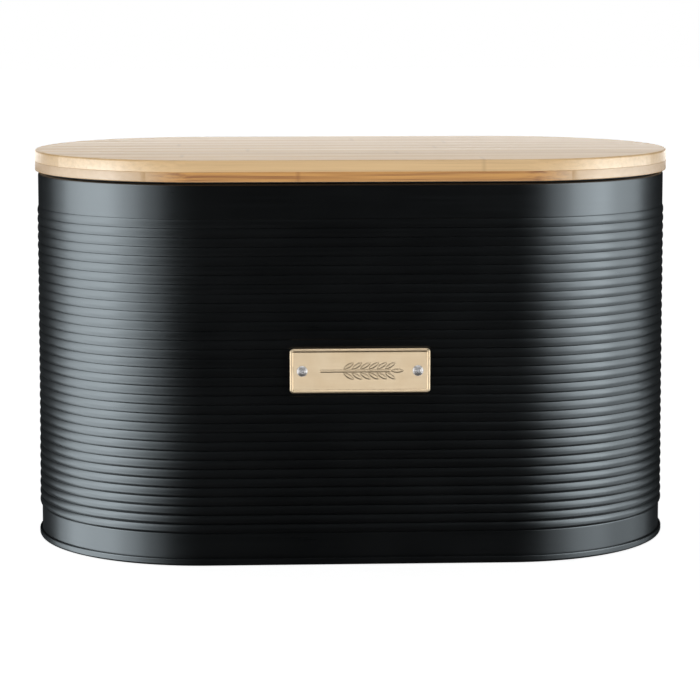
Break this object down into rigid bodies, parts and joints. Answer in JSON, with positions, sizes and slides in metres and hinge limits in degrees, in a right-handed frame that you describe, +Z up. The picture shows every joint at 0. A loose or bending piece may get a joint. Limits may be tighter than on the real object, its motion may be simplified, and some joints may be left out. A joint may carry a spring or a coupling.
{
  "type": "bread bin",
  "caption": "Oval bread bin with a ribbed black sheet-steel body, a riveted brass plate and a lift-off bamboo lid with a silicone seal.",
  "frame": {"origin": "centre of the base, on the table", "axes": "+X along the length, to the right of someone facing the plate; -Y towards the plate; +Z up"},
  "size_m": [0.335, 0.181, 0.206],
  "materials": {
    "black_coat": "satin black powder coat, slightly textured",
    "plate_brass": "pale gold brushed brass with a polished border",
    "rivet_metal": "bright bare aluminium",
    "mandrel_steel": "plain zinc-plated steel",
    "bamboo_upper": "pale laminated bamboo, satin oil, grain along the length",
    "bamboo_lower": "darker laminated bamboo, satin oil, grain along the length",
    "bamboo_plug": "pale laminated bamboo, unpolished",
    "seal_silicone": "soft dark grey silicone"
  },
  "bodies": {
    "bin": {"body_shell": "black_coat", "base_panel": "black_coat", "name_plate": "plate_brass", "rivet_left": "rivet_metal", "rivet_right": "rivet_metal", "mandrel_left": "mandrel_steel", "mandrel_right": "mandrel_steel"},
    "lid": {"lid_top_strip_1": "bamboo_upper", "lid_top_strip_2": "bamboo_upper", "lid_top_strip_3": "bamboo_upper", "lid_top_strip_4": "bamboo_upper", "lid_top_strip_5": "bamboo_upper", "lid_top_strip_6": "bamboo_upper", "lid_top_strip_7": "bamboo_upper", "lid_top_strip_8": "bamboo_upper", "lid_top_strip_9": "bamboo_upper", "lid_under_strip_1": "bamboo_lower", "lid_under_strip_2": "bamboo_lower", "lid_under_strip_3": "bamboo_lower", "lid_under_strip_4": "bamboo_lower", "lid_under_strip_5": "bamboo_lower", "lid_under_strip_6": "bamboo_lower", "lid_under_strip_7": "bamboo_lower", "lid_under_strip_8": "bamboo_lower", "lid_under_strip_9": "bamboo_lower", "lid_under_strip_10": "bamboo_lower", "lid_plug_strip_1": "bamboo_plug", "lid_plug_strip_2": "bamboo_plug", "lid_plug_strip_3": "bamboo_plug", "lid_plug_strip_4": "bamboo_plug", "lid_plug_strip_5": "bamboo_plug", "lid_plug_strip_6": "bamboo_plug", "lid_seal": "seal_silicone"}
  },
  "joints": [
    {"name": "lid_lift", "type": "slide", "parent": "bin", "child": "lid", "axis": [0, 0, 1], "range_m": [0, 0.2]}
  ]
}
